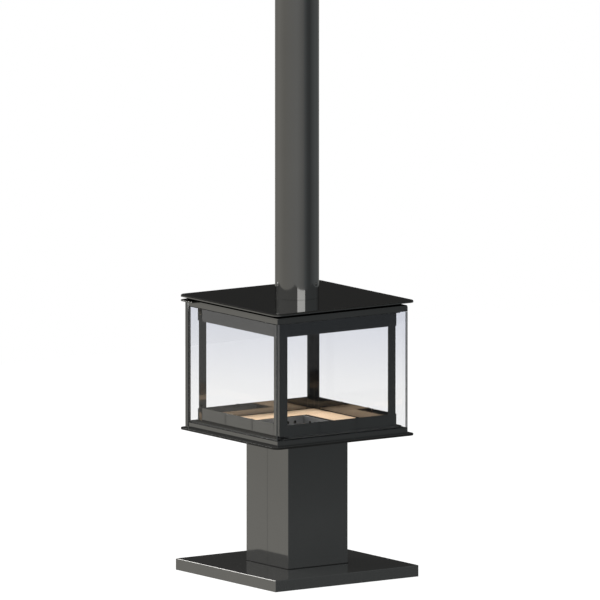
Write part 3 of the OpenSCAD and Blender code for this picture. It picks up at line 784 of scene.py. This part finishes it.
def painted_shade_black_material():
    """Matt black, as painted shade in gaps and joints and over highlights painted out."""
    finish, add, join, surface = blank_material("matt_black_painted_shade")
    mottled(add, join, surface, noise(add, join, 90, 4), (0.010, 0.010, 0.010, 1), (0.019, 0.019, 0.018, 1))
    gloss(surface, 0.6, 0.0)
    relief(add, join, surface, noise(add, join, 350, 3), 0.0001, 0.1)
    return finish


def paint_shade_black_on(piece, is_black):
    """Gives the faces that is_black picks, by centre and normal, the matt black of painted shade."""
    piece.data.materials.append(painted_shade_black)
    for polygon in piece.data.polygons:
        if is_black(polygon.center, polygon.normal):
            polygon.material_index = len(piece.data.materials) - 1


painted_shade_black = painted_shade_black_material()
dressed("floor_plate", "stove", black_enamel_material(), FLOOR_PLATE_EDGE)
for which in ("front", "right", "back", "left"):
    bar = dressed("lower_bar_" + which, "stove", lacquer, BAR_EDGE)
    # painted shade: the bar tops and their bevels in matt black
    paint_shade_black_on(bar, lambda centre, normal: normal.z > 0.1)


# ---------------------------------------------------------------- Hearth slabs
# Four pressed refractory slabs, laid like a pinwheel round the fire basket.
# They are matt and sandy, with broken edges, dark grains and painted shade on the upright sides by the
# basket and the rails.

SLAB_EDGE = 0.0022
SLAB_CUTS = 24
CHIP_REACH = 0.006
CHIP_DEPTH = 0.0007
PAINTED_SHADE_DEPTH = 0.0025
slab_low, slab_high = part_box("hearth_slab_front")
basket_side = -slab_high.y
rail_side = -slab_low.y


def refractory_material():
    finish, add, join, surface = blank_material("pressed_refractory")
    cloud = noise(add, join, 9, 5, 0.6)
    warm = blend_colours(add, join, cloud, (0.80, 0.56, 0.36, 1), (0.90, 0.69, 0.48, 1))
    grains = spread(add, join, noise(add, join, 520, 2), 0.62, 0.72, 0, 1)
    specks = blend_colours(add, join, grains, warm, (0.55, 0.36, 0.22, 1))

    # painted shade darkens the upright faces round the basket and along the rails
    axes = axes_of(add, join, "Object")
    reach = [maths(add, join, "ABSOLUTE", axes[key]) for key in ("X", "Y")]
    widest = maths(add, join, "MAXIMUM", *reach)
    by_basket = spread(add, join, widest, basket_side + 0.0005, basket_side + PAINTED_SHADE_DEPTH, 1, 0)
    by_rails = spread(add, join, widest, rail_side - PAINTED_SHADE_DEPTH, rail_side - 0.0015, 0, 1)
    painted_gap_shade = maths(add, join, "MAXIMUM", by_basket, by_rails)
    mottled(add, join, surface, painted_gap_shade, specks, (0.03, 0.027, 0.025, 1))
    gloss(surface, 0.92, 0.2)
    relief(add, join, surface, noise(add, join, 260, 6, 0.7), 0.0008, 0.35)
    return finish


refractory = refractory_material()


def chipped_slab(node):
    """Breaks small bites out of the slab along its edges."""
    piece = dressed(node, "stove", refractory, SLAB_EDGE, segments=2)
    mesh = bmesh.new()
    mesh.from_mesh(piece.data)
    long_lines = [e for e in mesh.edges if e.calc_length() > 0.02]
    bmesh.ops.subdivide_edges(mesh, edges=long_lines, cuts=SLAB_CUTS, use_grid_fill=True)
    low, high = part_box(node)
    middle = (low + high) / 2
    for v in mesh.verts:
        near = sorted(min(v.co[axis] - low[axis], high[axis] - v.co[axis]) for axis in range(3))
        edge_share = max(0.0, 1 - (near[0] + near[1]) / CHIP_REACH)
        wobble = math.sin(v.co.x * 611 + v.co.z * 97) * math.sin(v.co.y * 523 + v.co.x * 71)
        bite = CHIP_DEPTH * edge_share * max(0.0, wobble)
        v.co += (middle - v.co).normalized() * bite
    mesh.to_mesh(piece.data)
    mesh.free()


for which in ("front", "right", "back", "left"):
    chipped_slab("hearth_slab_" + which)


# ---------------------------------------------------------------- Fire basket
# A welded box of 3 mm steel that hangs by four corner ears in the floor plate.
# Round holes near its rim give the embers air, and each keeps a punched rim.

BASKET_EDGE = 0.0005
BASKET_WALL = 0.003
BASKET_INNER = 0.0975
HOLE_PITCH = 0.03
HOLE_RADIUS = 0.004
HOLE_RISE = 0.011
RIM_ROLL = 0.0008


def heat_tinted_material():
    finish, add, join, surface = blank_material("heat_tinted_steel")
    cloud = spread(add, join, noise(add, join, 14, 5, 0.6), 0.35, 0.7, 0, 1)
    mottled(add, join, surface, cloud, (0.36, 0.365, 0.37, 1), (0.5, 0.495, 0.49, 1))
    surface.inputs["Metallic"].default_value = 0.75
    join(spread(add, join, cloud, 0, 1, 0.38, 0.6), surface.inputs["Roughness"])
    relief(add, join, surface, noise(add, join, 240, 4, 0.6), 0.0003, 0.15)
    return finish


dressed("fire_basket", "stove", heat_tinted_material(), BASKET_EDGE)


# matt black painted shade, so that the basket's air holes look dark
def hole_shade_material():
    finish, add, join, surface = blank_material("painted_hole_shade")
    mottled(add, join, surface, noise(add, join, 400, 4), (0.004, 0.004, 0.004, 1), (0.012, 0.011, 0.01, 1))
    gloss(surface, 0.95, 0.05)
    return finish


def punched_rim():
    """A rolled rim on the inner face and a lining through the wall, both matt black as painted shade in the
    hole.
    """
    lining_end = 0.0001 - BASKET_WALL
    outline = [(HOLE_RADIUS + RIM_ROLL, -0.0002)]
    outline += arc(HOLE_RADIUS + RIM_ROLL, 0.0, RIM_ROLL, 0, 180, 8)
    outline += [(HOLE_RADIUS - 0.0001, lining_end), (HOLE_RADIUS, lining_end)]
    return lathe(outline, (0, 0), 24)


hole_height = slab_low.z + HOLE_RISE
rim_places = []
for step in range(-2, 3):
    along = step * HOLE_PITCH
    rim_places.append(((along, -BASKET_INNER, hole_height), (0, 1, 0)))
    rim_places.append(((along, BASKET_INNER, hole_height), (0, -1, 0)))
    rim_places.append(((-BASKET_INNER, along, hole_height), (1, 0, 0)))
    rim_places.append(((BASKET_INNER, along, hole_height), (-1, 0, 0)))
hole_rims = copies("basket_hole_rims", punched_rim(), rim_places, hole_shade_material())
rides(smooth_by_angle(hole_rims, 60), "stove", "mild_steel")


# ---------------------------------------------------------------- Grate and ash pan
# The grate is sand-cast iron: a rim with bars that taper downward so that ash
# falls free. The ash pan under it is folded from thin steel sheet.

GRATE_EDGE = 0.0012
ASH_PAN_EDGE = 0.0003


def cast_iron_material():
    finish, add, join, surface = blank_material("sand_cast_iron")
    cloud = noise(add, join, 40, 5, 0.7)
    mottled(add, join, surface, cloud, (0.035, 0.034, 0.033, 1), (0.085, 0.08, 0.076, 1))
    surface.inputs["Metallic"].default_value = 0.6
    join(spread(add, join, cloud, 0.3, 0.7, 0.55, 0.8), surface.inputs["Roughness"])
    relief(add, join, surface, noise(add, join, 700, 4, 0.7), 0.0006, 0.4)
    return finish


dressed("grate", "grate", cast_iron_material(), GRATE_EDGE)
dressed("ash_pan", "ash_pan", bare_steel, ASH_PAN_EDGE)


# ---------------------------------------------------------------- Posts and rails
# Three angle posts and one flat post carry the roof. Folded rails join them
# above and below the window, and blackened spring clips hold the panes. All but
# the clips are lacquered, with matt black painted shade on some rail edges.

POST_EDGE = 0.0004
RAIL_EDGE = 0.0003
PAINTED_SHADE_BAND = 0.0035
CLIP_EDGE = 0.0003
CATCH_EDGE = 0.0005

for node in ("jamb_post", "post_right", "post_back", "post_hinge_side"):
    dressed(node, "stove", lacquer, POST_EDGE)


def rail(node, body, level):
    """One folded rail. Painted shade in matt black on an upper rail's top edge and under the door's glass.
    """
    low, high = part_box(node)
    finished = dressed(node, body, lacquer, RAIL_EDGE)
    if level == "upper":
        paint_shade_black_on(finished, lambda centre, normal: centre.z > high.z - PAINTED_SHADE_BAND)
    elif body == "door":
        paint_shade_black_on(finished, lambda centre, normal: centre.z < low.z + PAINTED_SHADE_BAND)


for level in ("lower", "upper"):
    for which in ("right", "back", "left"):
        rail(level + "_rail_" + which, "stove", level)
    rail("door_" + level + "_rail", "door", level)


def black_steel_material():
    finish, add, join, surface = blank_material("blackened_spring_steel")
    cloud = noise(add, join, 80, 4)
    mottled(add, join, surface, cloud, (0.13, 0.13, 0.13, 1), (0.17, 0.168, 0.166, 1))
    surface.inputs["Metallic"].default_value = 1.0
    join(spread(add, join, cloud, 0.3, 0.7, 0.08, 0.15), surface.inputs["Roughness"])
    relief(add, join, surface, noise(add, join, 800, 3), 0.0001, 0.1)
    return finish


black_steel = black_steel_material()
dressed("rail_clips", "stove", black_steel, CLIP_EDGE)
dressed("door_clips", "door", black_steel, CLIP_EDGE)
dressed("magnet_catch", "stove", black_steel, CATCH_EDGE)


# ---------------------------------------------------------------- Glass
# Four panes of 5 mm clear ceramic glass. The faces are polished, and their see-through
# tint grows darker and faintly blue toward the top; the ground edges are smoky and darker.

GLASS_CHAMFER = 0.0006
TINT_RISE_START = 0.12
SEAL_EDGE = 0.0005


def glass_face_material():
    """Clear glass: tinted see-through, with mirror gloss on its outward side only."""
    finish = bpy.data.materials.new("polished_glass")
    finish.use_nodes = True
    tree = finish.node_tree
    tree.nodes.clear()
    add, join = tree.nodes.new, tree.links.new
    pane_low, pane_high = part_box("glass_right")
    height = axes_of(add, join, "Object")["Z"]
    toward_top_share = spread(add, join, height, pane_low.z + TINT_RISE_START, pane_high.z, 0, 1)
    tint = blend_colours(add, join, toward_top_share, (0.963, 0.964, 0.966, 1), (0.910, 0.917, 0.940, 1))
    clear = add("ShaderNodeBsdfTransparent")
    join(tint, clear.inputs["Color"])
    mirror = add("ShaderNodeBsdfGlossy")
    mirror.inputs["Roughness"].default_value = 0.02
    bend = add("ShaderNodeFresnel")
    bend.inputs["IOR"].default_value = 1.5
    face = add("ShaderNodeNewGeometry")
    outward = maths(add, join, "SUBTRACT", 1.0, face.outputs["Backfacing"])
    mix = add("ShaderNodeMixShader")
    join(maths(add, join, "MULTIPLY", bend.outputs[0], outward), mix.inputs["Fac"])
    join(clear.outputs[0], mix.inputs[1])
    join(mirror.outputs[0], mix.inputs[2])
    out = add("ShaderNodeOutputMaterial")
    join(mix.outputs[0], out.inputs["Surface"])
    return finish


def glass_edge_material():
    finish, add, join, surface = blank_material("ground_glass_edge")
    mottled(add, join, surface, noise(add, join, 300, 3), (0.012, 0.014, 0.015, 1), (0.03, 0.033, 0.035, 1))
    gloss(surface, 0.35, 0.25)
    surface.inputs["Alpha"].default_value = 0.9
    return finish


glass_face = glass_face_material()
glass_edge = glass_edge_material()


def pane(node, body):
    """A pane with ground chamfers. All its narrow faces but the top have the edge finish."""
    piece = new_piece(node + "_pane", merged_copy(node), (glass_face, glass_edge))
    rounded(piece, GLASS_CHAMFER, segments=2)
    low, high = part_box(node)
    size = high - low
    thin = min(range(3), key=lambda axis: size[axis])
    for polygon in piece.data.polygons:
        across, upward = abs(polygon.normal[thin]), polygon.normal.z
        polygon.material_index = 0 if across > 0.95 or upward > 0.3 else 1
    rides(piece, body, "clear_glass", node)


for which in ("right", "back", "left"):
    pane("glass_" + which, "stove")
pane("door_glass", "door")


def seal_material():
    finish, add, join, surface = blank_material("woven_seal_tape")
    where = add("ShaderNodeTexCoord")
    weave = add("ShaderNodeTexWave")
    weave.inputs["Scale"].default_value = 260
    weave.inputs["Distortion"].default_value = 1.5
    mapping = add("ShaderNodeMapping")
    mapping.inputs["Rotation"].default_value = (0.4, 0.6, 0.785)
    join(where.outputs["Object"], mapping.inputs["Vector"])
    join(mapping.outputs["Vector"], weave.inputs["Vector"])
    mottled(add, join, surface, weave.outputs["Fac"], (0.012, 0.012, 0.012, 1), (0.04, 0.04, 0.039, 1))
    gloss(surface, 0.95, 0.1)
    surface.inputs["Sheen Weight"].default_value = 0.1
    relief(add, join, surface, weave.outputs["Fac"], 0.0004, 0.5)
    return finish


seal_tape = seal_material()
dressed("pane_seals", "stove", seal_tape, SEAL_EDGE)
dressed("door_seals", "door", seal_tape, SEAL_EDGE)


# ---------------------------------------------------------------- Door hinge
# A drawn round rod, lacquered with the rest, is bored at both ends and turns on
# two 8 mm pins. The lower one has a collar that the rod stands on.

rod_low, rod_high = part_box("hinge_rod")
rod_centre = ((rod_low.x + rod_high.x) / 2, (rod_low.y + rod_high.y) / 2)
rod_radius = (rod_high.x - rod_low.x) / 2
PIN_BORE = 0.00405
BORE_DEPTH = 0.017
ROD_CHAMFER = 0.0008
PIN_EDGE = 0.0005


def rod_mesh():
    outline = [(PIN_BORE, rod_low.z)]
    outline += arc(rod_radius - ROD_CHAMFER, rod_low.z + ROD_CHAMFER, ROD_CHAMFER, -90, 0, 4)
    outline += arc(rod_radius - ROD_CHAMFER, rod_high.z - ROD_CHAMFER, ROD_CHAMFER, 0, 90, 4)
    outline += [(PIN_BORE, rod_high.z), (PIN_BORE, rod_high.z - BORE_DEPTH), (0, rod_high.z - BORE_DEPTH)]
    lower = [(0, rod_low.z + BORE_DEPTH), (PIN_BORE, rod_low.z + BORE_DEPTH)]
    return lathe(lower + outline, rod_centre, 64)


hinge_rod = smooth_by_angle(new_piece("hinge_rod_lacquered", rod_mesh(), lacquer))
rides(hinge_rod, "door", "grey_lacquer", "hinge_rod")
dressed("hinge_pins", "stove", lacquer, PIN_EDGE)


# ---------------------------------------------------------------- Roof
# Bars of the upper band, the roof plate with its hinge lug, and a second, wider
# plate held above it on four spacers, so that a dark shadow gap runs between.
# The bars' undersides, the faces inside the gap and the ground rim of the wider plate are matt black as
# painted shade, which on the rim paints out its highlight.

TOP_RIM_RADIUS = 0.0042
FLUE_HOLE_ZONE = 0.2
TOP_SPACER_EDGE = 0.0005
ROOF_SCREW_HEAD = 0.004
ROOF_SCREW_ACROSS = 0.00866
ROOF_SCREW_CORNER = 0.005
ROOF_SCREW_SHANK = 0.003
ROOF_SCREW_CROWN = 0.0004

for which in ("front", "right", "back", "left"):
    bar = dressed("upper_bar_" + which, "stove", lacquer, BAR_EDGE)
    # painted shade: the bars' undersides in matt black
    paint_shade_black_on(bar, lambda centre, normal: normal.z < -0.1)
roof_plate = dressed("roof_plate", "stove", lacquer, BAR_EDGE)
# painted shade: the roof plate's top, inside the gap, in matt black
paint_shade_black_on(roof_plate, lambda centre, normal: normal.z > 0.9)
top_plate_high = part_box("top_plate")[1]


def on_top_rim(a, b):
    """The upper outer edge, which is ground round, but not the flue hole's."""
    at_top = min(a.z, b.z) > top_plate_high.z - TOUCHING
    return at_top and all(max(abs(v.x), abs(v.y)) > FLUE_HOLE_ZONE for v in (a, b))


top_plate = dressed("top_plate", "stove", lacquer, BAR_EDGE, TOP_RIM_RADIUS, on_top_rim, 5)


def painted_shade_part_of_top(centre, normal):
    """The ground rim, black to paint out its highlight, and the underside over the shadow gap, black as
    painted shade.
    """
    on_rim = 0.05 < normal.z < 0.995 and centre.z > top_plate_high.z - TOP_RIM_RADIUS
    return normal.z < -0.9 or (on_rim and centre.xy.length > FLUE_HOLE_ZONE)


paint_shade_black_on(top_plate, painted_shade_part_of_top)
dressed("top_spacers", "stove", lacquer, TOP_SPACER_EDGE)

roof_screw_low, roof_screw_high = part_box("roof_screws")
roof_screw_seat = roof_screw_low.z + ROOF_SCREW_HEAD
roof_screw_at = roof_screw_high.x - ROOF_SCREW_CORNER
roof_screws = copies(
    "roof_screws_zinc",
    bolt_mesh(ROOF_SCREW_ACROSS, ROOF_SCREW_HEAD, ROOF_SCREW_SHANK,
              roof_screw_high.z - roof_screw_seat, ROOF_SCREW_CROWN),
    [(point, (0, 0, -1)) for point in four_corners(roof_screw_at, roof_screw_seat)],
    zinc, turn=1.0)
rides(smooth_by_angle(roof_screws), "stove", "zinc_plate", "roof_screws")


# ---------------------------------------------------------------- Baffle
# A board of pressed vermiculite that hangs under the roof on four threaded
# hangers and sends the smoke round its edges before it reaches the flue.

BOARD_EDGE = 0.001
HANGER_EDGE = 0.0005


def vermiculite_material():
    finish, add, join, surface = blank_material("pressed_vermiculite")
    flakes = add("ShaderNodeTexVoronoi")
    flakes.inputs["Scale"].default_value = 320
    where = add("ShaderNodeTexCoord")
    join(where.outputs["Object"], flakes.inputs["Vector"])
    mottled(add, join, surface, flakes.outputs["Distance"], (0.42, 0.34, 0.2, 1), (0.68, 0.58, 0.4, 1))
    surface.inputs["Roughness"].default_value = 0.85
    relief(add, join, surface, flakes.outputs["Distance"], 0.0008, 0.4)
    return finish


dressed("baffle_plate", "stove", vermiculite_material(), BOARD_EDGE)
dressed("baffle_hangers", "stove", zinc, HANGER_EDGE)


# ---------------------------------------------------------------- Flue
# A straight pipe of 1.5 mm steel, lacquered, over a collar welded in the roof.
# Its top end is swaged out into a socket for the next length, and small screws
# near its foot hold it to the collar.

pipe_low, pipe_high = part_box("flue_pipe")
socket_outer = pipe_high.x
PIPE_RADIUS = 0.0765
PIPE_WALL = 0.0015
SOCKET_DEPTH = 0.05
SOCKET_TAPER = 0.012
PIPE_STEPS = 160
PIPE_SCREWS = 3
PIPE_SCREW_HEIGHT = 0.051
PIPE_SCREW_TURN = math.radians(25)


def pipe_mesh():
    """The pipe's wall, turned round the Z axis, with eased bends where the socket widens."""
    wide_from = pipe_high.z - SOCKET_DEPTH
    taper_from = wide_from - SOCKET_TAPER
    inner = PIPE_RADIUS - PIPE_WALL
    socket_inner = socket_outer - PIPE_WALL
    lip = PIPE_WALL / 2
    broken = 0.0004
    bend_run = 0.001
    bend_rise = 0.0002
    outline = [(inner, pipe_low.z + broken), (inner + broken, pipe_low.z)]
    outline += [(PIPE_RADIUS - broken, pipe_low.z), (PIPE_RADIUS, pipe_low.z + broken)]
    outline += [(PIPE_RADIUS, taper_from - bend_run), (PIPE_RADIUS + bend_rise, taper_from)]
    outline += [(socket_outer - bend_rise, wide_from), (socket_outer, wide_from + bend_run)]
    outline += arc(socket_outer - lip, pipe_high.z - lip, lip, 0, 180, 10)
    outline += [(socket_inner, wide_from + bend_run), (socket_inner - bend_rise, wide_from)]
    outline += [(inner + bend_rise, taper_from), (inner, taper_from - bend_run)]
    return lathe(outline, (0, 0), PIPE_STEPS)


flue_pipe = smooth_by_angle(new_piece("flue_pipe_lacquered", pipe_mesh(), lacquer))
rides(flue_pipe, "stove", "grey_lacquer", "flue_pipe")
dressed("flue_collar", "stove", bare_steel, PLATE_EDGE)


def pan_screw():
    """A small pan-head screw with a round recess, its seat at the origin and its shank below."""
    outline = [(0, -0.004), (0.0024, -0.004), (0.0024, 0), (0.0055, 0)]
    outline += arc(0.0035, 0.0006, 0.002, 0, 80, 6)
    outline += [(0.0021, 0.0026), (0.0018, 0.0014), (0, 0.0013)]
    return lathe(outline, (0, 0), 24)


pipe_screw_places = []
for number in range(PIPE_SCREWS):
    turn = PIPE_SCREW_TURN + number * math.tau / PIPE_SCREWS
    way = Vector((math.cos(turn), math.sin(turn), 0))
    height = Vector((0, 0, pipe_low.z + PIPE_SCREW_HEIGHT))
    pipe_screw_places.append((way * PIPE_RADIUS + height, way))
pipe_screws = copies("pipe_foot_screws", pan_screw(), pipe_screw_places, lacquer, turn=1.0)
rides(smooth_by_angle(pipe_screws), "stove", "grey_lacquer")
